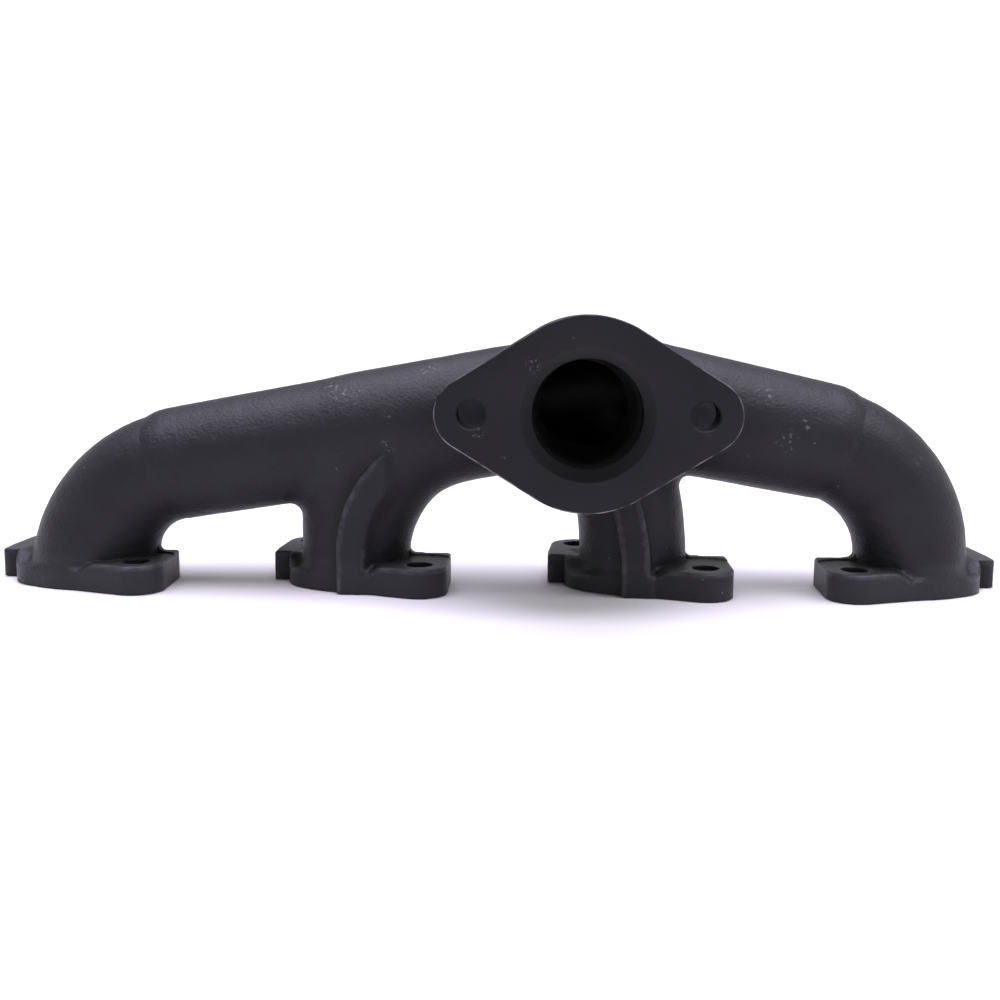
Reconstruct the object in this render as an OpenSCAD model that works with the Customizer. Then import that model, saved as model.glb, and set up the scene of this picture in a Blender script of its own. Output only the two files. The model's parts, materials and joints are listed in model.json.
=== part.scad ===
// Exhaust manifold for a four-cylinder engine: a hollow grey-iron casting.
// Four ports open downwards at z = 0, where the casting bolts to the cylinder head.
// Two elbows and two short runners carry the gas up into a log that rises to a shallow
// peak, and the outlet leaves the peak towards -Y through a two-bolt flange.
// The casting is divided into its sections. Neighbours meet face to face, and each
// section holds its own stretch of the gas passage.

/* [Ports] */
// Distance between neighbouring ports
port_pitch = 98; // [92:0.5:106]
// Diameter of each port's mouth in its flange
port_bore = 29; // [28.2:0.1:30]
// Diameter of the passage above each port
passage_d = 28; // [24:0.1:28]
// Outside diameter of the runners and elbows
runner_od = 37.5; // [36:0.1:38]

/* [Port flanges] */
// Height of the flange between its lugs
plate_height = 6.3; // [5:0.1:8]
// Height of the two bolt lugs
lug_height = 10.2; // [9:0.1:11]
// Diameter of the bolt holes for M8 studs
port_bolt_hole = 9; // [8.4:0.1:10]
// Width of the front lug around its hole
front_lug_w = 19.4; // [17:0.1:20]
// Width of the back lug around its hole
back_lug_w = 18.4; // [17:0.1:20]
// Diameter of the spot face around the front hole
spot_face_d = 31.4; // [24:0.1:32]
// Depth of the spot face
spot_face_depth = 0.5; // [0.2:0.1:1]

/* [Log] */
// Height of the log's axis at its peak
peak_z = 67.5; // [66:0.1:69]
// Distance of the peak to the right of the middle port pair
peak_x = 35.5; // [33:0.1:37]
// Slope of the left arm, in degrees
left_slope = 9.9; // [9.5:0.1:10.3]
// Slope of the right arm, in degrees
right_slope = 11.3; // [10.8:0.1:11.8]
// Outside diameter of the log at its peak
log_peak_od = 44.6; // [43:0.1:46]
// Outside diameter of the log where it meets an elbow
log_end_od = 40; // [39:0.1:41]
// Diameter of the passage along the log
log_bore = 31; // [29:0.5:32]

/* [Bends] */
// Bend radius of elbow 1
elbow_1_bend = 43.5; // [42:0.1:45]
// Bend radius of elbow 4
elbow_4_bend = 42; // [41:0.1:43]
// Bend radius of runner 2's sweep towards the outlet
sweep_bend = 50; // [48:0.1:52]
// Height at which runner 2's sweep begins
sweep_start_z = 8.8; // [8:0.1:10]

/* [Outlet] */
// Distance of the outlet to the right of the middle port pair
outlet_x = 30; // [29:0.1:31]
// Height of the outlet's axis
outlet_z = 65.2; // [65:0.1:66.5]
// Distance from the port centres forward to the outlet's face
outlet_reach = 58; // [54:0.5:64]
// Diameter of the outlet in its flange
outlet_bore = 34.6; // [34.2:0.1:36]
// Diameter of the passage through the outlet neck
neck_bore = 34; // [31:0.1:34]
// Diameter of the conical seat's mouth
seat_d = 41.6; // [38:0.1:43]
// Outside diameter of the outlet neck
neck_od = 43; // [42:0.1:43.4]
// Thickness of the outlet flange
outlet_flange_t = 12; // [9:0.5:14]
// Diameter of the outlet flange's large round
flange_round_d = 61.2; // [58:0.2:64]
// Diameter of the flange's two ears
ear_d = 23.2; // [21:0.2:25]
// Distance between the two outlet bolts
outlet_bolt_spacing = 72; // [70:0.5:76]
// Diameter of the outlet bolt holes
outlet_bolt_hole = 9; // [8.4:0.1:10]

/* [Ribs] */
// Width of the two stiffening ribs
rib_w = 9; // [7:0.5:11]
// Distance from the port centres forward to the ribs' faces
rib_reach = 22; // [21.6:0.1:22.6]
// Bend radius of rib 2
rib_2_bend = 37; // [35:0.5:39]
// Height at which rib 2 begins to bend
rib_2_start_z = 15; // [13:0.5:16]
// Bend radius of rib 3, which leans towards the outlet
rib_3_bend = 75; // [70:1:90]
// Height at which rib 3 begins to lean
rib_3_start_z = 8; // [6:0.5:10]

/* [Hidden] */

$fn = 64;
// How far cuts reach past the faces they open.
over = 1;
// A length greater than the whole casting.
far = 400;

// Port positions from left to right.
port_x = [for (i = [0:3]) (i - 1.5) * port_pitch];
// Flange 4 is the mirror image of the other three.
flange_side = [1, 1, 1, -1];

// Flange outline, measured from its own port's centre.
front_bolt = [23.6, -17.8];
back_bolt = [-19.5, 21.5];
body_round_r = 15.3;
body_round_x = 9;
front_lug_back_y = 1.5;
back_lug_left_x = -30;
back_lug_front_y = 0.3;
lug_split_x = 17;
back_split_x = -20;
back_split_r = 12;

runner_r = runner_od / 2;
port_r = port_bore / 2;
passage_r = passage_d / 2;
neck_r = neck_od / 2;
outlet_r = outlet_bore / 2;
neck_bore_r = neck_bore / 2;
seat_depth = (seat_d - outlet_bore) / 2;
flange_back = outlet_reach - outlet_flange_t;

// The log's arms and their elbows. Side -1 is the left arm and side 1 the right arm.
// arm_z is the height of the log's axis at x. The elbow bends about (bend_x, bend_z) and
// runs into the arm at end_x.
function slope_of(side) = side < 0 ? left_slope : right_slope;
function arm_z(side, x) = peak_z - abs(x - peak_x) * tan(slope_of(side));
function bend_of(side) = side < 0 ? elbow_1_bend : elbow_4_bend;
function bend_x(side) = side * (1.5 * port_pitch - bend_of(side));
function end_x(side) = bend_x(side) + side * bend_of(side) * sin(slope_of(side));
function bend_z(side) = arm_z(side, end_x(side)) - bend_of(side) * cos(slope_of(side));

// Angle at which runner 2's sweep has run into the log.
sweep_end = 108;
// The upright back of runner 2.
runner_back_shift = 2.5;
runner_back_r = 15.5;

// Planes where the two peak sections of the log meet its ends.
peak_left_x = 4;
peak_right_x = 73;

// The casting is shifted along Y so that its box is centred on the origin.
back_reach = back_bolt.y + back_lug_w / 2;
port_y = (outlet_reach - back_reach) / 2;

cast_iron = [0.24, 0.23, 0.26];
machined_iron = [0.30, 0.30, 0.32];

// ---- Placing ----

// Puts a section in the casting's frame.
module placed() translate([0, port_y, 0]) children();

// Puts a flange section at port i, mirrored where the flange is.
module at_port(i) translate([port_x[i], 0, 0]) mirror([flange_side[i] < 0 ? 1 : 0, 0, 0]) children();

// ---- Pipes ----

// A bend in the XZ plane about (x, z), from angle a0 to angle a1.
module bend(x, z, bend_r, r, a0, a1)
    translate([x, 0, z]) rotate([90, 0, 0])
        rotate_extrude(angle = a1 - a0, start = a0) translate([bend_r, 0]) circle(r);

// The elbow's solid tube of radius r, from below the flange up to the log.
module elbow_tube(side, r) {
    a = slope_of(side);
    from = side < 0 ? 90 + a : 0;
    to = side < 0 ? 180 : 90 - a;
    bend(bend_x(side), bend_z(side), bend_of(side), r, from, to);
    translate([side * 1.5 * port_pitch, 0, -over]) cylinder(r = r, h = max(bend_z(side), 0) + over);
}

// One arm of the log as a solid taper, from the elbow up to a mitre at the peak.
module arm_tube(side, r_end, r_peak) {
    a = slope_of(side);
    length = abs(peak_x - end_x(side)) / cos(a);
    past = r_peak;
    r_past = r_peak + (r_peak - r_end) * past / length;
    difference() {
        translate([end_x(side), 0, arm_z(side, end_x(side))])
            rotate([0, -side * (90 - a), 0]) cylinder(r1 = r_end, r2 = r_past, h = length + past);
        if (side < 0) between_x(peak_x, far);
        if (side > 0) between_x(-far, peak_x);
    }
}

// The slab between two planes of constant x.
module between_x(x0, x1) translate([x0, -far / 2, -far / 2]) cube([x1 - x0, far, far]);

// Both arms outside.
module log_outside() {
    arm_tube(-1, log_end_od / 2, log_peak_od / 2);
    arm_tube(1, log_end_od / 2, log_peak_od / 2);
}

// Runner 2: a short upright foot and a sweep towards the outlet.
module runner_2_tube(r) {
    translate([port_x[1], 0, -over]) cylinder(r = r, h = sweep_start_z + over);
    bend(port_x[1] + sweep_bend, sweep_start_z, sweep_bend, r, sweep_end, 180);
}

// Runner 2 outside, with the upright back that stands to the left of the sweep.
module runner_2_outside() {
    runner_2_tube(runner_r);
    translate([port_x[1] - runner_back_shift, 0, sweep_start_z])
        cylinder(r = runner_back_r, h = arm_z(-1, port_x[1]) - sweep_start_z);
}

// Runner 3: an upright pipe.
module runner_3_tube(r, top) translate([port_x[2], 0, -over]) cylinder(r = r, h = top + over);

// The outlet's round, from the log's axis forward to y = -reach.
module outlet_tube(r, reach) translate([outlet_x, 0, outlet_z]) rotate([90, 0, 0]) cylinder(r = r, h = reach);

// ---- Port flange ----

// The outline of the flange body: two tapers that cross over the port.
module body_outline() {
    hull() {
        translate(front_bolt) circle(d = front_lug_w);
        translate([-body_round_x, 0]) circle(r = body_round_r);
    }
    hull() {
        translate(back_bolt) circle(d = back_lug_w);
        translate([body_round_x, 0]) circle(r = body_round_r);
    }
}

// The square part of the front lug behind its hole.
module front_lug_block()
    translate([body_round_x, front_bolt.y])
        square([front_bolt.x + front_lug_w / 2 - body_round_x, front_lug_back_y - front_bolt.y]);

// The back lug: a flat front face that narrows to the round about its hole.
module back_lug_outline()
    hull() {
        translate(back_bolt) circle(d = back_lug_w);
        translate([back_lug_left_x, back_lug_front_y]) square([8, 5]);
    }

// The space of the front lug, clear of the runner.
module front_lug_space()
    difference() {
        union() {
            translate([front_bolt.x, front_bolt.y, -over]) cylinder(d = spot_face_d, h = far);
            translate([lug_split_x, -far / 2, -over]) cube([far, far / 2 + front_lug_back_y, far]);
        }
        translate([0, 0, -2 * over]) cylinder(r = runner_r, h = far * 2);
    }

// The space of the back lug, clear of the runner.
module back_lug_space()
    difference() {
        union() {
            translate([back_bolt.x, back_bolt.y, -over]) cylinder(r = back_split_r, h = far);
            translate([back_split_x - far, back_lug_front_y, -over]) cube(far);
        }
        translate([0, 0, -2 * over]) cylinder(r = runner_r, h = far * 2);
    }

module port_flange(i)
    color(cast_iron) placed() at_port(i)
        difference() {
            linear_extrude(plate_height) body_outline();
            front_lug_space();
            back_lug_space();
            translate([0, 0, -over]) cylinder(r = port_r, h = plate_height + 2 * over);
        }

module front_bolt_lug(i)
    color(cast_iron) placed()
        difference() {
            at_port(i) difference() {
                intersection() {
                    linear_extrude(lug_height) union() {
                        body_outline();
                        front_lug_block();
                    }
                    front_lug_space();
                }
                translate([front_bolt.x, front_bolt.y, lug_height - spot_face_depth])
                    cylinder(d = spot_face_d, h = over);
                translate([front_bolt.x, front_bolt.y, -over])
                    cylinder(d = port_bolt_hole, h = lug_height + 2 * over);
            }
            if (i == 0) elbow_tube(-1, runner_r);
        }

module back_bolt_lug(i)
    color(cast_iron) placed()
        difference() {
            at_port(i) difference() {
                intersection() {
                    linear_extrude(lug_height) union() {
                        body_outline();
                        back_lug_outline();
                    }
                    back_lug_space();
                }
                translate([back_bolt.x, back_bolt.y, -over])
                    cylinder(d = port_bolt_hole, h = lug_height + 2 * over);
            }
            if (i == 0) elbow_tube(-1, runner_r);
        }

// ---- Elbows and runners ----

// Everything below the flange's upper face.
module below_plate() translate([-far / 2, -far / 2, plate_height - far]) cube(far);

module elbow(side)
    color(cast_iron) placed()
        difference() {
            elbow_tube(side, runner_r);
            below_plate();
            elbow_tube(side, passage_r);
        }

module runner_2()
    color(cast_iron) placed()
        difference() {
            runner_2_outside();
            below_plate();
            arm_tube(-1, log_end_od / 2, log_peak_od / 2);
            runner_2_tube(passage_r);
        }

module runner_3()
    color(cast_iron) placed()
        difference() {
            runner_3_tube(runner_r, arm_z(1, port_x[2]));
            below_plate();
            log_outside();
            runner_3_tube(passage_r, arm_z(1, port_x[2]) + over);
        }

// ---- Log ----

module log_left()
    color(cast_iron) placed()
        difference() {
            arm_tube(-1, log_end_od / 2, log_peak_od / 2);
            between_x(peak_left_x, far);
            arm_tube(-1, passage_r, log_bore / 2);
            runner_2_tube(passage_r);
        }

module log_peak_left()
    color(cast_iron) placed()
        difference() {
            arm_tube(-1, log_end_od / 2, log_peak_od / 2);
            between_x(-far, peak_left_x);
            arm_tube(-1, passage_r, log_bore / 2);
            runner_3_tube(passage_r, arm_z(1, port_x[2]));
            outlet_tube(neck_bore_r, outlet_reach);
        }

module log_peak_right()
    color(cast_iron) placed()
        difference() {
            arm_tube(1, log_end_od / 2, log_peak_od / 2);
            between_x(peak_right_x, far);
            arm_tube(1, passage_r, log_bore / 2);
            runner_3_tube(passage_r, arm_z(1, port_x[2]));
            outlet_tube(neck_bore_r, outlet_reach);
        }

module log_right()
    color(cast_iron) placed()
        difference() {
            arm_tube(1, log_end_od / 2, log_peak_od / 2);
            between_x(-far, peak_right_x);
            arm_tube(1, passage_r, log_bore / 2);
        }

// ---- Outlet ----

module outlet_neck()
    color(cast_iron) placed()
        difference() {
            outlet_tube(neck_r, flange_back);
            log_outside();
            outlet_tube(neck_bore_r, outlet_reach);
        }

// The rhombus outline: one large round and two ears.
module outlet_outline()
    hull() {
        circle(d = flange_round_d);
        for (side = [-1, 1]) translate([side * outlet_bolt_spacing / 2, 0]) circle(d = ear_d);
    }

module outlet_flange()
    color(machined_iron) placed()
        translate([outlet_x, -flange_back, outlet_z]) rotate([90, 0, 0])
            difference() {
                linear_extrude(outlet_flange_t) outlet_outline();
                translate([0, 0, -over]) cylinder(r = outlet_r, h = outlet_flange_t + 2 * over);
                translate([0, 0, outlet_flange_t - seat_depth])
                    cylinder(r1 = outlet_r, r2 = outlet_r + seat_depth + over, h = seat_depth + over);
                for (side = [-1, 1]) translate([side * outlet_bolt_spacing / 2, 0, -over])
                    cylinder(d = outlet_bolt_hole, h = outlet_flange_t + 2 * over);
            }

// ---- Ribs ----

// A flat ring sector in the XZ plane, rib_w wide, from y = -rib_reach back to the pipe's axis.
module rib_bend(x, z, bend_r, a0, a1)
    translate([x, 0, z]) rotate([90, 0, 0])
        rotate_extrude(angle = a1 - a0, start = a0)
            translate([bend_r - rib_w / 2, 0]) square([rib_w, rib_reach]);

// The straight foot of a rib, from the port face up to height z.
module rib_foot(x, z) translate([x - rib_w / 2, -rib_reach, 0]) cube([rib_w, rib_reach, z]);

module runner_rib_2()
    color(cast_iron) placed()
        difference() {
            union() {
                rib_foot(port_x[1], rib_2_start_z);
                rib_bend(port_x[1] + rib_2_bend, rib_2_start_z, rib_2_bend, 100, 180);
            }
            runner_2_outside();
            arm_tube(-1, log_end_od / 2, log_peak_od / 2);
            at_port(1) translate([0, 0, -over]) linear_extrude(plate_height + over) body_outline();
        }

module runner_rib_3()
    color(cast_iron) placed()
        difference() {
            union() {
                rib_foot(port_x[2], rib_3_start_z);
                rib_bend(port_x[2] - rib_3_bend, rib_3_start_z, rib_3_bend, 0, 32);
            }
            runner_3_tube(runner_r, arm_z(1, port_x[2]));
            log_outside();
            outlet_tube(neck_r, outlet_reach);
            at_port(2) translate([0, 0, -over]) linear_extrude(plate_height + over) body_outline();
        }

port_flange(0);  // port_flange_1
port_flange(1);  // port_flange_2
port_flange(2);  // port_flange_3
port_flange(3);  // port_flange_4
front_bolt_lug(0);  // front_bolt_lug_1
front_bolt_lug(1);  // front_bolt_lug_2
front_bolt_lug(2);  // front_bolt_lug_3
front_bolt_lug(3);  // front_bolt_lug_4
back_bolt_lug(0);  // back_bolt_lug_1
back_bolt_lug(1);  // back_bolt_lug_2
back_bolt_lug(2);  // back_bolt_lug_3
back_bolt_lug(3);  // back_bolt_lug_4
elbow(-1);  // elbow_1
runner_2();
runner_3();
elbow(1);  // elbow_4
log_left();
log_peak_left();
log_peak_right();
log_right();
outlet_neck();
outlet_flange();
runner_rib_2();
runner_rib_3();
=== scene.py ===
"""Cast-iron exhaust manifold: one cast skin cut into its sections, a machined outlet flange,
materials, studio light and camera. Lengths below are millimetres unless a name says otherwise."""
import json
import math
from concurrent.futures import ThreadPoolExecutor

import bmesh
import bpy
import numpy as np
import openvdb
from mathutils import Matrix, Vector


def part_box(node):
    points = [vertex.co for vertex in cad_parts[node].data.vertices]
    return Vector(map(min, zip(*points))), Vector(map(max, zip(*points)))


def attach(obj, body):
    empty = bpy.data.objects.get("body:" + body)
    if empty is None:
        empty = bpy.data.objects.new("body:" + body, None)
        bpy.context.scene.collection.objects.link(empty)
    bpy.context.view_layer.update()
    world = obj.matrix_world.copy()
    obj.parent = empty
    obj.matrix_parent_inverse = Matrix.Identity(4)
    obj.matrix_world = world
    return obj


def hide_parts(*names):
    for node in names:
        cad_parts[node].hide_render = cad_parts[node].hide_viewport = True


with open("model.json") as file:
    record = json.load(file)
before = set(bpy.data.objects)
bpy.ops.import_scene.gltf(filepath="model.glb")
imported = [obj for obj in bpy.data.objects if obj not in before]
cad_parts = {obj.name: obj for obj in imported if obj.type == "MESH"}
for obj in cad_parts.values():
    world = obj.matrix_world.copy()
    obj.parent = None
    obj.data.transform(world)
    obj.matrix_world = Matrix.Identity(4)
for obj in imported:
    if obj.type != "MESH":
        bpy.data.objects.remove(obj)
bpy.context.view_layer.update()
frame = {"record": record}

# ---- Sizes read from the frame ----

MM = 0.001
mounts = {m["name"]: m for m in frame["record"]["mounts"]}


def box_mm(node):
    """A node's lowest and highest corners in millimetres."""
    low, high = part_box(node)
    return [v / MM for v in low], [v / MM for v in high]


def size_mm(node):
    low, high = box_mm(node)
    return [h - l for l, h in zip(low, high)]


PORTS = [mounts[f"port_{i}"]["pos_m"][0] / MM for i in (1, 2, 3, 4)]
PORT_Y = mounts["port_1"]["pos_m"][1] / MM
PORT_R = mounts["port_1"]["dims"]["r_mm"]
BOLT_R = mounts["port_bolts_1"]["dims"]["hole_r_mm"]
FLANGE_SIDE = [1, 1, 1, -1]
PLATE_H = size_mm("port_flange_1")[2]
LUG_H = size_mm("back_bolt_lug_1")[2]
RUNNER_R = size_mm("runner_3")[0] / 2
NECK_R = size_mm("outlet_neck")[0] / 2
OUTLET_X = mounts["outlet"]["pos_m"][0] / MM
OUTLET_Z = mounts["outlet"]["pos_m"][2] / MM
OUTLET_R = mounts["outlet"]["dims"]["r_mm"]
OUTLET_FACE = mounts["outlet_face"]["pos_m"][1] / MM - PORT_Y
OUTLET_T = size_mm("outlet_flange")[1]
OUTLET_BACK = OUTLET_FACE + OUTLET_T
ROUND_R = size_mm("outlet_flange")[2] / 2
BOLT_HALF = mounts["outlet_bolts"]["dims"]["spacing_x_mm"] / 2
EAR_R = size_mm("outlet_flange")[0] / 2 - BOLT_HALF

# ---- Shape of the casting. x and z as in the frame, y measured from the ports' centres ----

PASSAGE_R = 14.0
LOG_PASSAGE_R = 15.3

FRONT_BOLT = (23.6, -17.8)
BACK_BOLT = (-19.5, 21.5)
FRONT_LUG_R = 9.7
BACK_LUG_R = 9.2
BODY_HALF = 9.0
BODY_R = 15.3
SPOT_R = 15.7
SPOT_Z = LUG_H - 0.5
SPOT_TOP = LUG_H + 2.4
EDGE_R = 1.0
FOOT_FILLET = 2.6
PIPE_FILLET = 5.0
NECK_FILLET = 6.5

PEAK = (35.5, 67.5)
PEAK_R = 22.3
LEFT_END = (-112.0, 41.7)
LEFT_END_R = 19.9
RIGHT_END = (114.0, 51.8)
RIGHT_END_R = 20.3
LOG_SLOPE = 0.1749

# Bends as the x and z of their centre, and their radius.
ELBOW_1_OUTER = (-103.5, -0.9, 43.5)
ELBOW_1_INNER = (-108.4, 9.9, 30.7)
ELBOW_4_OUTER = (105.0, 10.8, 42.0)
RUNNER_2_SWEEP = (1.0, 8.8, 50.0)
RIB_2_LEFT = (-10.0, 14.5, 43.5)
RIB_2_RIGHT = (-12.8, 12.7, 31.9)
RIB_FACE = -22.0
RIB_ROOT = -8.0
FLARE_WIDTH = 7.0


def length(*parts):
    return np.sqrt(sum(p * p for p in parts))


def above(value, low=0.0):
    return np.maximum(value - low, 0.0)


def step(value, low, high):
    """Smooth ramp from 0 at low to 1 at high."""
    t = np.clip((value - low) / (high - low), 0.0, 1.0)
    return t * t * (3.0 - 2.0 * t)


def join(a, b, r):
    """Union of two distance fields with a fillet of radius r."""
    return np.maximum(r, np.minimum(a, b)) - length(above(r - a), above(r - b))


def both(a, b, r):
    """Intersection of two distance fields with an edge of radius r."""
    return np.minimum(-r, np.maximum(a, b)) + length(above(r + a), above(r + b))


def taper(x, y, a, ra, b, rb):
    """Distance in the plane to the hull of two circles."""
    dx, dy = b[0] - a[0], b[1] - a[1]
    span = math.hypot(dx, dy)
    ux, uy = dx / span, dy / span
    px, py = x - a[0], y - a[1]
    along = px * ux + py * uy
    side = np.abs(px * uy - py * ux)
    sine = (ra - rb) / span
    cosine = math.sqrt(1 - sine * sine)
    k = along * cosine - side * sine
    flank = along * sine + side * cosine - ra
    start = length(along, side) - ra
    end = length(along - span, side) - rb
    return np.where(k < 0, start, np.where(k > cosine * span, end, flank))


def rectangle(x, y, x0, x1, y0, y1):
    qx = np.abs(x - (x0 + x1) / 2) - (x1 - x0) / 2
    qy = np.abs(y - (y0 + y1) / 2) - (y1 - y0) / 2
    return length(above(qx), above(qy)) + np.minimum(np.maximum(qx, qy), 0)


def rod(x, y, z, a, ra, b, rb):
    """A tapered bar with round ends between two points of the plane y = 0."""
    dx, dz = b[0] - a[0], b[1] - a[1]
    span = math.hypot(dx, dz)
    t = np.clip(((x - a[0]) * dx + (z - a[1]) * dz) / span ** 2, 0.0, 1.0)
    return length(x - a[0] - t * dx, z - a[1] - t * dz, y) - (ra + (rb - ra) * t)


def log_field(x, y, z, end_left, end_right, peak):
    left = rod(x, y, z, LEFT_END, end_left, PEAK, peak)
    right = rod(x, y, z, RIGHT_END, end_right, PEAK, peak)
    return np.minimum(left, right)


def from_bend(x, z, bend):
    """Distance outwards from a bend that runs on straight down below its centre."""
    centre_x, centre_z, radius = bend
    return length(x - centre_x, above(z, centre_z)) - radius


def elbow_1(x, y, z, r, thick):
    """Elbow 1: its inner side bends tighter than its outer side, so its middle is a band."""
    outer = from_bend(x, z, ELBOW_1_OUTER)
    inner = -from_bend(x, z, ELBOW_1_INNER) if thick else -outer
    band = np.maximum(above(outer), above(inner))
    return np.maximum(length(band, y) - r, x + 111.0)


def elbow_4(x, y, z, r, thick):
    outer = from_bend(x, z, ELBOW_4_OUTER)
    band = np.maximum(above(outer), above(-outer - (1.0 if thick else 0.0)))
    return np.maximum(length(band, y) - r, 106.0 - x)


def runner_2(x, y, z, r):
    """Runner 2: an upright back and a sweep towards the outlet, with the band between them filled."""
    back = -49.6 - x
    sweep = -from_bend(x, z, RUNNER_2_SWEEP)
    top = z - (LEFT_END[1] + (x - LEFT_END[0]) * LOG_SLOPE)
    return length(above(back), above(sweep), above(top), above(x, -4.0), y) - r


def runner_2_passage(x, y, z, r):
    sweep = np.abs(from_bend(x, z, RUNNER_2_SWEEP))
    return np.maximum(length(sweep, y) - r, x + 14.0)


def lean(z, start, bend):
    """How far an upright line that bends left from height start has moved at height z."""
    climb = np.minimum(above(z, start), bend * 0.9)
    return bend - np.sqrt(bend * bend - climb * climb)


def runner_3(x, y, z, r):
    middle = PORTS[2] - lean(z, 8.0, 130.0)
    return np.maximum(length(x - middle, y) - r, z - 64.0)


def rib_2(x, y, z):
    """Rib 2 and the radius of its fillet, which is larger on its right side."""
    left = from_bend(x, z, RIB_2_LEFT)
    right = -from_bend(x, z, RIB_2_RIGHT)
    face = RIB_FACE + 11.0 * step(x, -37.5, -26.0) - y
    back = np.maximum(x + 24.0, y - RIB_ROOT)
    rib = np.maximum(np.maximum(both(left, face, 0.7), both(right, face, 2.2)), back)
    return rib, 1.2 + 4.3 * step(-left, 5.0, 10.0)


def rib_3(x, y, z):
    middle = 48.85 - lean(z, 5.0, 95.0)
    deep = np.maximum(np.maximum(np.abs(x - middle) - 4.9, z - 52.0), y - RIB_ROOT)
    return both(deep, RIB_FACE - y, 0.8)


def flange(x, y, z):
    """One port flange in its own place: the plate, and two lugs that stand above it."""
    body = np.minimum(taper(x, y, FRONT_BOLT, FRONT_LUG_R, (-BODY_HALF, 0.0), BODY_R),
                      taper(x, y, BACK_BOLT, BACK_LUG_R, (BODY_HALF, 0.0), BODY_R))
    front_block = rectangle(x, y, 9.0, FRONT_BOLT[0] + FRONT_LUG_R, FRONT_BOLT[1], 1.5)
    back_block = np.minimum(rectangle(x, y, -30.0, -8.0, 0.3, 9.0),
                            taper(x, y, BACK_BOLT, BACK_LUG_R, (-24.5, 7.0), 5.5))
    outline = np.minimum(np.minimum(body, front_block), back_block)
    from_front = length(x - FRONT_BOLT[0], y - FRONT_BOLT[1])
    near_front = np.minimum(from_front - 12.0, rectangle(x, y, 19.0, 40.0, -30.0, 2.0))
    near_back = np.minimum(length(x - BACK_BOLT[0], y - BACK_BOLT[1]) - 10.0,
                           rectangle(x, y, -40.0, -22.0, 0.0, 30.0))
    lug = 1.0 - step(np.minimum(near_front, near_back), -0.5, 8.5)
    top = PLATE_H + (LUG_H - PLATE_H) * lug
    return both(outline, z - top, EDGE_R)


def noise_waves():
    """Fixed directions and lengths of the waves that make the cast skin uneven."""
    rng = np.random.default_rng(7)
    waves = []
    for size, height in ((19.0, 0.02), (11.0, 0.013), (6.5, 0.01), (4.0, 0.008)):
        for _ in range(4):
            direction = rng.normal(size=3)
            direction *= 2 * math.pi / size / np.linalg.norm(direction)
            waves.append((direction, rng.uniform(0, 2 * math.pi), height))
    return waves


WAVES = noise_waves()


def unevenness(x, y, z):
    total = 0.0
    for (kx, ky, kz), phase, height in WAVES:
        total = total + height * np.sin(kx * x + ky * y + kz * z + phase)
    return total


def outside(x, y, z):
    """Signed distance to the casting as if it had no passages."""
    low, high = float(x.min()) - 12.0, float(x.max()) + 12.0
    solid = log_field(x, y, z, LEFT_END_R, RIGHT_END_R, PEAK_R)
    if low < -100:
        solid = np.minimum(solid, elbow_1(x, y, z, RUNNER_R, True))
    if high > 100:
        solid = np.minimum(solid, elbow_4(x, y, z, RUNNER_R, True))
    if low < 10 and high > -75:
        solid = join(solid, runner_2(x, y, z, RUNNER_R), PIPE_FILLET)
        solid = join(solid, *rib_2(x, y, z))
    if low < 85 and high > 0:
        from_axis = length(x - OUTLET_X, z - OUTLET_Z)
        flare = np.maximum(from_axis - NECK_R - FLARE_WIDTH, y - (OUTLET_BACK - 0.8))
        neck = join(np.maximum(from_axis - NECK_R, y), flare, 5.0)
        solid = join(solid, neck, NECK_FILLET)
        solid = join(solid, runner_3(x, y, z, RUNNER_R), PIPE_FILLET)
        solid = join(solid, rib_3(x, y, z), 1.4)
    pipes = solid = solid + unevenness(x, y, z)
    for port, side in zip(PORTS, FLANGE_SIDE):
        if low < port + 45 and high > port - 45:
            u = (x - port) * side
            solid = join(solid, flange(u, y, z), FOOT_FILLET)
            spot = np.maximum(length(u - FRONT_BOLT[0], y - FRONT_BOLT[1]) - SPOT_R,
                              np.maximum(SPOT_Z - z, z - SPOT_TOP))
            solid = np.minimum(both(solid, -spot, 0.8), pipes)
            for bolt in (FRONT_BOLT, BACK_BOLT):
                hole = np.maximum(length(u - bolt[0], y - bolt[1]) - BOLT_R, z - LUG_H - 1.0)
                solid = np.maximum(solid, -hole)
    return solid


def passages(x, y, z):
    """Signed distance to the gas passages: negative inside them."""
    low, high = float(x.min()) - 12.0, float(x.max()) + 12.0
    hollow = log_field(x, y, z, PASSAGE_R, PASSAGE_R, LOG_PASSAGE_R)
    if low < -100:
        hollow = np.minimum(hollow, elbow_1(x, y, z, PASSAGE_R, False))
    if high > 100:
        hollow = np.minimum(hollow, elbow_4(x, y, z, PASSAGE_R, False))
    if low < 10 and high > -75:
        hollow = join(hollow, runner_2_passage(x, y, z, PASSAGE_R), 2.0)
    if low < 85 and high > 0:
        hollow = join(hollow, runner_3(x, y, z, PASSAGE_R), 2.0)
        outlet_r = OUTLET_R - 2.8 * step(y, -38.0, -8.0)
        outlet = np.maximum(length(x - OUTLET_X, z - OUTLET_Z) - outlet_r, y)
        hollow = join(hollow, outlet, 2.0)
    for port in PORTS:
        if low < port + 20 and high > port - 20:
            mouth = np.maximum(length(x - port, y) - PORT_R, z - PLATE_H)
            hollow = np.minimum(hollow, mouth)
    return hollow


def outlet_plate(x, y, z):
    """Signed distance to the outlet flange."""
    u, w = x - OUTLET_X, z - OUTLET_Z
    outline = np.minimum(taper(u, w, (-BOLT_HALF, 0.0), EAR_R, (0.0, 0.0), ROUND_R),
                         taper(u, w, (BOLT_HALF, 0.0), EAR_R, (0.0, 0.0), ROUND_R))
    return np.maximum(outline, np.maximum(OUTLET_FACE - y, y - OUTLET_BACK))


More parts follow.
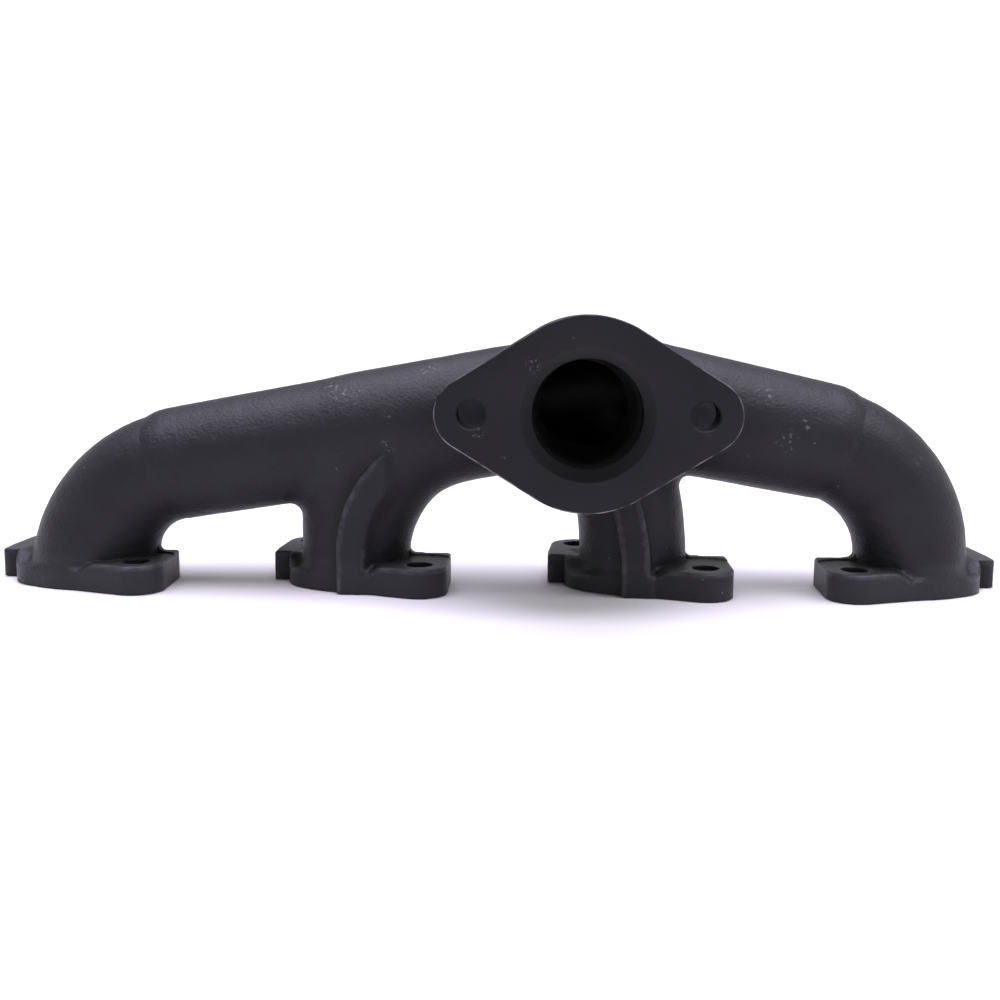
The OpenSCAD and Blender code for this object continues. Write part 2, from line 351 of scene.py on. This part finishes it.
def field(x, y, z):
    """Signed distance to the casting: negative inside the iron."""
    return np.maximum(outside(x, y, z), -passages(x, y, z))


def surroundings(x, y, z):
    """Signed distance to the casting and its outlet flange together."""
    return np.minimum(field(x, y, z), outlet_plate(x, y, z))


# ---- Meshing ----

VOXEL = 0.75
LOW = (-181.0, -47.8, -1.6)
HIGH = (181.0, 34.0, 92.5)
CORES = 4


def spread(work, count):
    """Runs work(k) for k in range(count) on several cores, in order."""
    with ThreadPoolExecutor(CORES) as pool:
        return list(pool.map(work, range(count)))


def sample_grid():
    axes = [np.arange(lo, hi, VOXEL, dtype=np.float32) for lo, hi in zip(LOW, HIGH)]
    slabs = np.array_split(axes[0], 48)

    def slab(k):
        x, y, z = np.meshgrid(slabs[k], axes[1], axes[2], indexing="ij")
        return field(x, y, z).astype(np.float32)

    return np.concatenate(spread(slab, len(slabs)))


def evaluate(points, function=field):
    """A distance function at each point, worked out in strips along x."""
    strips = np.array_split(np.argsort(points[:, 0]), 40)
    values = np.zeros(len(points))

    def strip(k):
        values[strips[k]] = function(*points[strips[k]].T)

    spread(strip, len(strips))
    return values


def gradient(points):
    """The field's slope at each point."""
    slope = np.empty_like(points)
    for axis in range(3):
        shift = np.zeros(3)
        shift[axis] = 0.05
        slope[:, axis] = (evaluate(points + shift) - evaluate(points - shift)) / 0.1
    return slope


# Probe lengths for the painted shade in corners and the painted shadow behind the outlet flange, and the
# depth for edge wear.
PROBES = (3.0, 6.0, 9.0, 13.0)
PLATE_PROBE = 22.0
WEAR_DEPTH = 2.0


def room(points, outward, reach, function):
    """How much of a step of length reach off the skin stays clear of a shape, from 0 to 1."""
    return np.clip(evaluate(points + outward * reach, function) / reach, 0, 1)


def painted_shade_factor(points, outward):
    """Painted shade factor for the colour: 1 in the open, less in deep corners and behind the outlet
    flange, 0 in the passages.
    """
    reach = [room(points, outward, probe, surroundings) for probe in PROBES]
    # Painted shadow: the casting behind the outlet flange is darkened.
    flange_painted_shadow = 0.6 + 0.4 * room(points, outward, PLATE_PROBE, outlet_plate)
    # Painted shade: the passages are painted nearly black.
    inside = np.clip(evaluate(points, passages) / 3.0, 0, 1)
    return (sum(reach) / len(PROBES)) ** 1.6 * flange_painted_shadow * inside


def wear(points, outward):
    """1 along the casting's convex edges and 0 on its broad surfaces."""
    depth = evaluate(points - outward * WEAR_DEPTH)
    return np.clip((depth / WEAR_DEPTH + 0.95) / 0.1, 0, 1)


def skin_mesh():
    """Points and faces of the casting's closed skin."""
    values = np.clip(sample_grid(), -3 * VOXEL, 3 * VOXEL)
    grid = openvdb.FloatGrid(3 * VOXEL)
    grid.copyFromArray(values)
    points, faces = grid.convertToQuads(0.0)
    points = points.astype(np.float64) * VOXEL + np.array(LOW)
    for _ in range(2):
        value, slope = evaluate(points), gradient(points)
        size = np.maximum((slope ** 2).sum(axis=1), 0.25)
        move = (value / size)[:, None] * slope
        limit = 0.6 * VOXEL
        points -= np.clip(move, -limit, limit)
    return points, faces


# ---- Cutting the skin into its sections ----

def closed_half(source, point, normal, keep_front):
    """A copy of one side of a closed mesh, with the cut closed by flat faces."""
    half = source.copy()
    geometry = half.verts[:] + half.edges[:] + half.faces[:]
    bmesh.ops.bisect_plane(half, geom=geometry, dist=1e-5, plane_co=point, plane_no=normal,
                           clear_inner=keep_front, clear_outer=not keep_front)
    rim = [e for e in half.edges if len(e.link_faces) == 1]
    if rim:
        filled = bmesh.ops.triangle_fill(half, edges=rim, use_beauty=False, use_dissolve=False)
        cap = half.faces.layers.int["cap"]
        outward = Vector(normal) if not keep_front else -Vector(normal)
        for item in filled["geom"]:
            if isinstance(item, bmesh.types.BMFace):
                item[cap] = 1
                item.normal_update()
                if item.normal.dot(outward) < 0:
                    item.normal_flip()
    return half


def split(source, point, normal):
    """The parts of a mesh behind and in front of a plane."""
    parts = [closed_half(source, point, normal, front) for front in (False, True)]
    source.free()
    return parts


FOOT_TOP = LUG_H + 0.2
HALF_PITCH = 49
LUG_CUT = 17.0
UNDER_LOG = 21.8
NECK_START = -23.5
RUNNER_3_TOP = 37.5
LOG_CENTRE_START = 4
LOG_RIGHT_START = 73


def sections(skin):
    """Every section of the casting by name, from planes that follow the CAD's own divisions."""
    out = {}
    skin = closed_half(skin, (0, 0, 0), (0, 0, 1), True)
    skin = closed_half(skin, (0, OUTLET_BACK, 0), (0, 1, 0), True)
    low, high = split(skin, (0, 0, FOOT_TOP), (0, 0, 1))
    for i, (port, side) in enumerate(zip(PORTS, FLANGE_SIDE), 1):
        if i < 4:
            foot, low = split(low, (port + HALF_PITCH, 0, 0), (1, 0, 0))
        else:
            foot = low
        for name, bolt in (("front_bolt_lug", FRONT_BOLT), ("back_bolt_lug", BACK_BOLT)):
            away = Vector((bolt[0] * side, bolt[1], 0)).normalized()
            foot, lug = split(foot, Vector((port, 0, 0)) + away * LUG_CUT, away)
            out[f"{name}_{i}"] = lug
        out[f"port_flange_{i}"] = foot
    left = Vector((PEAK[0] - LEFT_END[0], 0, PEAK[1] - LEFT_END[1])).normalized()
    right = Vector((RIGHT_END[0] - PEAK[0], 0, RIGHT_END[1] - PEAK[1])).normalized()
    out["elbow_1"], high = split(high, (LEFT_END[0], 0, LEFT_END[1]), left)
    high, out["elbow_4"] = split(high, (RIGHT_END[0], 0, RIGHT_END[1]), right)
    west, east = split(high, (LOG_CENTRE_START, 0, 0), (1, 0, 0))
    under = Vector((-left.z, 0, left.x))
    below = Vector((LEFT_END[0], 0, LEFT_END[1])) - under * UNDER_LOG
    out["runner_2"], out["log_left"] = split(west, below, under)
    out["outlet_neck"], east = split(east, (0, NECK_START, 0), (0, 1, 0))
    out["runner_3"], east = split(east, (0, 0, RUNNER_3_TOP), (0, 0, 1))
    out["log_peak_left"], east = split(east, (PEAK[0], 0, 0), (1, 0, 0))
    out["log_peak_right"], out["log_right"] = split(east, (LOG_RIGHT_START, 0, 0), (1, 0, 0))
    return out


def to_frame(point):
    return (point[0] * MM, (point[1] + PORT_Y) * MM, point[2] * MM)


def add_object(name, mesh, material):
    mesh.materials.append(material)
    obj = bpy.data.objects.new(name, mesh)
    bpy.context.scene.collection.objects.link(obj)
    return obj


def cast_piece(name, bm, material):
    """Turns one section into an object whose shading follows the whole casting's skin."""
    flat = [face[bm.faces.layers.int["cap"]] for face in bm.faces]
    mesh = bpy.data.meshes.new(name)
    bm.to_mesh(mesh)
    bm.free()
    count = len(mesh.vertices)
    points = np.empty(count * 3)
    mesh.vertices.foreach_get("co", points)
    points = points.reshape(-1, 3)
    slope = gradient(points)
    slope /= np.maximum(np.linalg.norm(slope, axis=1), 1e-6)[:, None]
    corner = np.empty(len(mesh.loops), dtype=np.int32)
    mesh.loops.foreach_get("vertex_index", corner)
    normals = slope[corner]
    totals = np.empty(len(mesh.polygons), dtype=np.int32)
    mesh.polygons.foreach_get("loop_total", totals)
    own = np.empty(len(mesh.polygons) * 3)
    mesh.polygons.foreach_get("normal", own)
    own = np.repeat(own.reshape(-1, 3), totals, axis=0)
    is_cap = np.repeat(np.array(flat, dtype=bool), totals)
    normals[is_cap] = own[is_cap]
    # Stores the painted shade factor and the edge wear on the points.
    for measure in (painted_shade_factor, wear):
        layer = mesh.attributes.new(measure.__name__, "FLOAT", "POINT")
        layer.data.foreach_set("value", measure(points, slope))
    placed = (points + np.array([0, PORT_Y, 0])) * MM
    mesh.vertices.foreach_set("co", placed.ravel())
    mesh.update()
    mesh.shade_smooth()
    mesh.normals_split_custom_set(normals)
    return add_object(name, mesh, material)


# ---- The outlet flange ----

def flange_outline(inset):
    """The rhombus with a large round and two ears, as points in order, moved inwards by inset."""
    big, small = ROUND_R - inset, EAR_R - inset
    lift = math.asin((ROUND_R - EAR_R) / BOLT_HALF)
    points = []
    for centre, radius, start, end, steps in (
            (BOLT_HALF, small, lift - math.pi / 2, math.pi / 2 - lift, 28),
            (0.0, big, math.pi / 2 - lift, math.pi / 2 + lift, 28),
            (-BOLT_HALF, small, math.pi / 2 + lift, 3 * math.pi / 2 - lift, 28),
            (0.0, big, 3 * math.pi / 2 - lift, 3 * math.pi / 2 + lift, 28)):
        for k in range(steps + 1):
            a = start + (end - start) * k / steps
            points.append((centre + radius * math.cos(a), radius * math.sin(a)))
    return points


def circle(centre, radius, steps):
    turns = [2 * math.pi * k / steps for k in range(steps)]
    return [(centre + radius * math.cos(a), radius * math.sin(a)) for a in turns]


def ring(bm, points, y):
    """A closed loop of vertices at depth y, about the outlet's axis."""
    return [bm.verts.new(to_frame((OUTLET_X + u, y, OUTLET_Z + w))) for u, w in points]


def wall(bm, first, second):
    count = len(first)
    for k in range(count):
        bm.faces.new((first[k], first[(k + 1) % count], second[(k + 1) % count], second[k]))


def rounded(radius, depth, steps=4):
    """Inset and depth pairs of a rounded edge."""
    turns = [math.pi / 2 * k / steps for k in range(steps + 1)]
    return [(radius * (1 - math.sin(a)), depth * (1 - math.cos(a))) for a in turns]


FRONT_EDGE = 0.45
BACK_EDGE = 1.1
SEAT_DEPTH = 3.5


def outlet_flange(material):
    bm = bmesh.new()
    worn = bm.verts.layers.float.new("wear")
    front_rims, back_rims = [], []

    def tube(levels):
        rings = [ring(bm, points, y) for points, y in levels]
        for a, b in zip(rings, rings[1:]):
            wall(bm, a, b)
        front_rims.append(rings[0])
        back_rims.append(rings[-1])
        return rings

    front, back = OUTLET_FACE, OUTLET_BACK
    edge = [(flange_outline(i), front + d) for i, d in rounded(FRONT_EDGE, FRONT_EDGE)]
    rear = [(flange_outline(i), back - d) for i, d in rounded(BACK_EDGE, BACK_EDGE)]
    rim_rings = tube(edge + rear[::-1])
    for vert in rim_rings[1] + rim_rings[2]:
        vert[worn] = 1.0
    seat = OUTLET_R + SEAT_DEPTH
    tube([(circle(0, seat + 0.15, 96), front), (circle(0, seat - 0.1, 96), front + 0.15),
          (circle(0, OUTLET_R, 96), front + SEAT_DEPTH), (circle(0, OUTLET_R, 96), back)])
    for centre in (-BOLT_HALF, BOLT_HALF):
        tube([(circle(centre, BOLT_R + FRONT_EDGE, 48), front),
              (circle(centre, BOLT_R, 48), front + FRONT_EDGE),
              (circle(centre, BOLT_R, 48), back)])
    for rims in (front_rims, back_rims):
        edges = []
        for rim in rims:
            for k, vert in enumerate(rim):
                edges.append(bm.edges.get((vert, rim[(k + 1) % len(rim)])))
        bmesh.ops.triangle_fill(bm, edges=edges, use_beauty=True, use_dissolve=False)
    bmesh.ops.recalc_face_normals(bm, faces=bm.faces)
    mesh = bpy.data.meshes.new("outlet_flange_body")
    bm.to_mesh(mesh)
    bm.free()
    mesh.shade_smooth()
    mesh.set_sharp_from_angle(angle=math.radians(32))
    return add_object("outlet_flange_body", mesh, material)


# ---- Materials ----

def new_material(name):
    material = bpy.data.materials.new(name)
    material.use_nodes = True
    tree = material.node_tree
    return material, tree, tree.nodes["Principled BSDF"]


def connect(tree, socket, value):
    """Feeds an input from another node's output, or sets it to a constant."""
    if isinstance(value, bpy.types.NodeSocket):
        tree.links.new(value, socket)
    else:
        socket.default_value = value


def maths(tree, operation, *values):
    item = tree.nodes.new("ShaderNodeMath")
    item.operation = operation
    for socket, value in zip(item.inputs, values):
        connect(tree, socket, value)
    return item.outputs[0]


def rise(tree, value, low, high):
    """0 where value is at low, 1 where it is at high."""
    item = tree.nodes.new("ShaderNodeMapRange")
    connect(tree, item.inputs["Value"], value)
    item.inputs["From Min"].default_value = low
    item.inputs["From Max"].default_value = high
    return item.outputs["Result"]


def blend(tree, amount, first, second):
    item = tree.nodes.new("ShaderNodeMix")
    item.data_type = "RGBA"
    for socket, value in zip((item.inputs[0], item.inputs[6], item.inputs[7]), (amount, first, second)):
        connect(tree, socket, value)
    return item.outputs[2]


def noise(tree, where, scale, detail):
    item = tree.nodes.new("ShaderNodeTexNoise")
    item.inputs["Scale"].default_value = scale
    item.inputs["Detail"].default_value = detail
    tree.links.new(where, item.inputs["Vector"])
    return item.outputs["Fac"]


def trait(tree, name):
    """One of the values stored on the mesh's points."""
    item = tree.nodes.new("ShaderNodeAttribute")
    item.attribute_name = name
    return item.outputs["Fac"]


def distance(tree, where, place):
    item = tree.nodes.new("ShaderNodeVectorMath")
    item.operation = "DISTANCE"
    tree.links.new(where, item.inputs[0])
    item.inputs[1].default_value = to_frame(place)
    return item.outputs["Value"]


def specks(tree, where):
    """Small bright pits, thinly scattered in patches."""
    cells = tree.nodes.new("ShaderNodeTexVoronoi")
    cells.inputs["Scale"].default_value = 230.0
    tree.links.new(where, cells.inputs["Vector"])
    dots = rise(tree, cells.outputs["Distance"], 0.09, 0.05)
    return maths(tree, "MULTIPLY", dots, rise(tree, noise(tree, where, 38.0, 2.0), 0.6, 0.63))


def scuffs(tree, where, places, grain):
    """Scratched patches, each given by its centre and radius."""
    nearest = 0.0
    for *place, radius in places:
        patch = rise(tree, distance(tree, where, place), radius * MM, 0.2 * radius * MM)
        nearest = maths(tree, "MAXIMUM", nearest, patch)
    return maths(tree, "MULTIPLY", nearest, rise(tree, noise(tree, where, grain, 3.0), 0.56, 0.68))


def bump(tree, shader, height, depth):
    item = tree.nodes.new("ShaderNodeBump")
    item.inputs["Strength"].default_value = 0.5
    item.inputs["Distance"].default_value = depth
    tree.links.new(height, item.inputs["Height"])
    tree.links.new(item.outputs["Normal"], shader.inputs["Normal"])


def on_front(x, z):
    """The point of the casting that is met first from the front at x and z."""
    y = OUTLET_FACE
    for _ in range(200):
        y += 0.7 * float(field(*(np.array([v]) for v in (x, y, z)))[0])
    return (x, y, z)


# Scuffs as x, z and radius on the front of the casting, and on the outlet face.
LOG_LEFT_SCUFFS = ((-55, 70.5, 5), (-49, 68.5, 7), (-22.5, 76.5, 5))
RIB_2_SCUFFS = ((-36, 51, 3.5), (-36, 61.5, 2), (-52.5, 43, 1.5))
LOG_RIGHT_SCUFFS = ((91, 69, 5), (98, 53.5, 5), (104, 59.5, 3))
OTHER_SCUFFS = ((144, 47, 3), (52, 18.5, 3))
CAST_SCUFFS = [(*on_front(x, z), radius) for x, z, radius in
               LOG_LEFT_SCUFFS + RIB_2_SCUFFS + LOG_RIGHT_SCUFFS + OTHER_SCUFFS]
FACE_SCUFFS = [(x, OUTLET_FACE, z, radius) for x, z, radius in
               ((-4.0, 59.5, 2.5), (13.0, 80.5, 3), (4.0, 52.0, 1), (25.0, 89.0, 0.8))]


def cast_material():
    material, tree, shader = new_material("cast_skin")
    where = tree.nodes.new("ShaderNodeTexCoord").outputs["Object"]
    skin = blend(tree, rise(tree, noise(tree, where, 60.0, 5.0), 0.3, 0.7),
                 (0.0112, 0.0105, 0.0132, 1), (0.0155, 0.0146, 0.0182, 1))
    parts = tree.nodes.new("ShaderNodeSeparateXYZ")
    tree.links.new(where, parts.inputs[0])
    # Painted light: the port flanges, below the lug tops, are painted a lighter grey.
    foot = rise(tree, parts.outputs["Z"], (LUG_H + 2.5) * MM, LUG_H * MM)
    skin = blend(tree, foot, skin, (0.0195, 0.0185, 0.0222, 1))
    patchy = rise(tree, noise(tree, where, 260.0, 3.0), 0.25, 0.75)
    edges = maths(tree, "MULTIPLY", trait(tree, "wear"), patchy)
    bright = maths(tree, "MAXIMUM", specks(tree, where), scuffs(tree, where, CAST_SCUFFS, 700.0))
    bright = maths(tree, "MAXIMUM", bright, maths(tree, "MULTIPLY", edges, 0.42))
    skin = blend(tree, bright, skin, (0.11, 0.105, 0.12, 1))
    # Painted shade: the colour goes nearly black where the stored shade factor is low, in corners,
    # behind the outlet flange and in the passages.
    clear = trait(tree, "painted_shade_factor")
    tree.links.new(blend(tree, clear, (0.0015, 0.0014, 0.0016, 1), skin), shader.inputs["Base Color"])
    shader.inputs["Specular IOR Level"].default_value = 0.21
    shader.inputs["Roughness"].default_value = 0.48
    shader.inputs["Sheen Weight"].default_value = 0.05
    shader.inputs["Sheen Roughness"].default_value = 0.35
    bump(tree, shader, noise(tree, where, 900.0, 4.0), 0.0005)
    return material


def face_material():
    material, tree, shader = new_material("machined_face")
    where = tree.nodes.new("ShaderNodeTexCoord").outputs["Object"]
    skin = blend(tree, rise(tree, noise(tree, where, 45.0, 4.0), 0.3, 0.7),
                 (0.0088, 0.0085, 0.0105, 1), (0.0115, 0.0112, 0.0135, 1))
    parts = tree.nodes.new("ShaderNodeSeparateXYZ")
    tree.links.new(where, parts.inputs[0])
    # A ramp up the face, 0 at the bottom and 1 at the top, that sets the painted light and shade of the
    # seat and edges below.
    face_height_ramp = rise(tree, parts.outputs["Z"], (OUTLET_Z - 19) * MM, (OUTLET_Z + 19) * MM)
    from_mouth = distance(tree, where, (OUTLET_X, OUTLET_FACE, OUTLET_Z))
    seat = rise(tree, from_mouth, 21.1 * MM, 20.6 * MM)
    # Painted shade: the bore deeper than the seat is painted nearly black.
    painted_dark_bore = maths(tree, "GREATER_THAN", parts.outputs["Y"], (OUTLET_FACE + 3.4 + PORT_Y) * MM)
    # Painted light and shade on the seat: near black at its bottom, lighter than the face at its top.
    seat_painted_light_and_shade = blend(tree, face_height_ramp, (0.0012, 0.0012, 0.0013, 1), (0.018, 0.0175, 0.018, 1))
    skin = blend(tree, seat, skin, seat_painted_light_and_shade)
    skin = blend(tree, scuffs(tree, where, FACE_SCUFFS, 1100.0), skin, (0.11, 0.105, 0.115, 1))
    # The edges are real wear with a painted highlight on top, stronger towards the bottom of the flange.
    low = maths(tree, "MULTIPLY_ADD", face_height_ramp, -0.8, 1.0)
    patchy = rise(tree, noise(tree, where, 190.0, 3.0), 0.38, 0.62)
    edges = maths(tree, "MULTIPLY", trait(tree, "wear"), patchy)
    skin = blend(tree, maths(tree, "MULTIPLY", edges, low), skin, (0.3, 0.29, 0.31, 1))
    tree.links.new(blend(tree, painted_dark_bore, skin, (0.002, 0.002, 0.002, 1)), shader.inputs["Base Color"])
    shader.inputs["Specular IOR Level"].default_value = 0.17
    dull = maths(tree, "MULTIPLY", seat, maths(tree, "SUBTRACT", 1.0, face_height_ramp))
    tree.links.new(maths(tree, "MULTIPLY_ADD", dull, 0.4, 0.5), shader.inputs["Roughness"])
    bump(tree, shader, noise(tree, where, 1200.0, 3.0), 0.0001)
    return material


# ---- Building ----

cast = cast_material()
machined = face_material()

points, faces = skin_mesh()
skin = bmesh.new()
skin.faces.layers.int.new("cap")
verts = [skin.verts.new(p) for p in points]
for face in faces:
    skin.faces.new([verts[k] for k in face])
skin.normal_update()
if sum(f.calc_area() * f.normal.dot(f.calc_center_median()) for f in skin.faces) < 0:
    bmesh.ops.reverse_faces(skin, faces=skin.faces)

ALSO = {"runner_2": ("runner_rib_2",), "runner_3": ("runner_rib_3",)}
for node, part in sections(skin).items():
    piece = cast_piece(node + "_cast", part, cast)
    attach(piece, "root")
    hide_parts(node, *ALSO.get(node, ()))

plate = outlet_flange(machined)
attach(plate, "root")
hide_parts("outlet_flange")

# ---- Floor, light and camera ----

floor_mesh = bpy.data.meshes.new("floor")
FLOOR_HALF = 12
FLOOR_Z = -0.0004
corner_signs = ((-1, -1), (1, -1), (1, 1), (-1, 1))
floor_corners = [(sx * FLOOR_HALF, sy * FLOOR_HALF, FLOOR_Z) for sx, sy in corner_signs]
floor_mesh.from_pydata(floor_corners, [], [(0, 1, 2, 3)])
floor_material, _, floor_shader = new_material("floor")
floor_shader.inputs["Base Color"].default_value = (0.63, 0.61, 0.605, 1)
floor_shader.inputs["Roughness"].default_value = 0.8
floor = add_object("floor", floor_mesh, floor_material)


def area_light(name, place, target, size, watts, colour):
    data = bpy.data.lights.new(name, "AREA")
    data.shape = "RECTANGLE"
    data.size, data.size_y = size
    data.energy = watts
    data.color = colour
    lamp = bpy.data.objects.new(name, data)
    lamp.location = place
    lamp.rotation_euler = (Vector(target) - Vector(place)).to_track_quat("-Z", "Y").to_euler()
    bpy.context.scene.collection.objects.link(lamp)


area_light("right_softbox", (1.15, -0.3, 1.15), (0, 0, 0.04), (0.6, 0.6), 6.5, (1, 1, 1))

# The studio: a white band about the horizon that is dimmer in front, a dim band over it and a
# bright ceiling.
world = bpy.data.worlds.new("studio")
world.use_nodes = True
studio = world.node_tree
split_direction = studio.nodes.new("ShaderNodeSeparateXYZ")
studio.links.new(studio.nodes.new("ShaderNodeTexCoord").outputs["Generated"], split_direction.inputs[0])
height = split_direction.outputs["Z"]
from_front = rise(studio, split_direction.outputs["Y"], -0.75, -0.1)
horizon = maths(studio, "MULTIPLY", rise(studio, height, 0.38, 0.22),
                maths(studio, "MULTIPLY_ADD", from_front, 0.6, 0.4))
ceiling = rise(studio, height, 0.78, 0.88)
strength = maths(studio, "MULTIPLY_ADD", horizon, 0.8, 0.25)
strength = maths(studio, "MULTIPLY_ADD", ceiling, 6.1, strength)
background = studio.nodes["Background"]
studio.links.new(strength, background.inputs["Strength"])
studio.links.new(blend(studio, ceiling, (1, 1, 1, 1), (0.98, 0.95, 1.17, 1)), background.inputs["Color"])
bpy.context.scene.world = world
bpy.context.scene.view_settings.view_transform = "Standard"

# The camera stands 0.45 m in front of the ports and 0.1 m above their faces.
CAMERA_PLACE = (0.01268, -0.44119, 0.1022)
YAW, PITCH, ROLL = (math.radians(a) for a in (1.374, 9.064, 0.399))
ahead = Vector((-math.sin(YAW) * math.cos(PITCH), math.cos(YAW) * math.cos(PITCH), -math.sin(PITCH)))
level = Vector((math.cos(YAW), math.sin(YAW), 0))
upward = level.cross(ahead)
across = math.cos(ROLL) * level + math.sin(ROLL) * upward
upright = -math.sin(ROLL) * level + math.cos(ROLL) * upward
data = bpy.data.cameras.new("camera")
data.sensor_width = 36.0
data.lens = 46.8
data.clip_start = 0.01
camera = bpy.data.objects.new("camera", data)
turn = Matrix((across, upright, -ahead)).transposed().to_4x4()
camera.matrix_world = Matrix.Translation(CAMERA_PLACE) @ turn
bpy.context.scene.collection.objects.link(camera)
bpy.context.scene.camera = camera

bpy.context.view_layer.update()
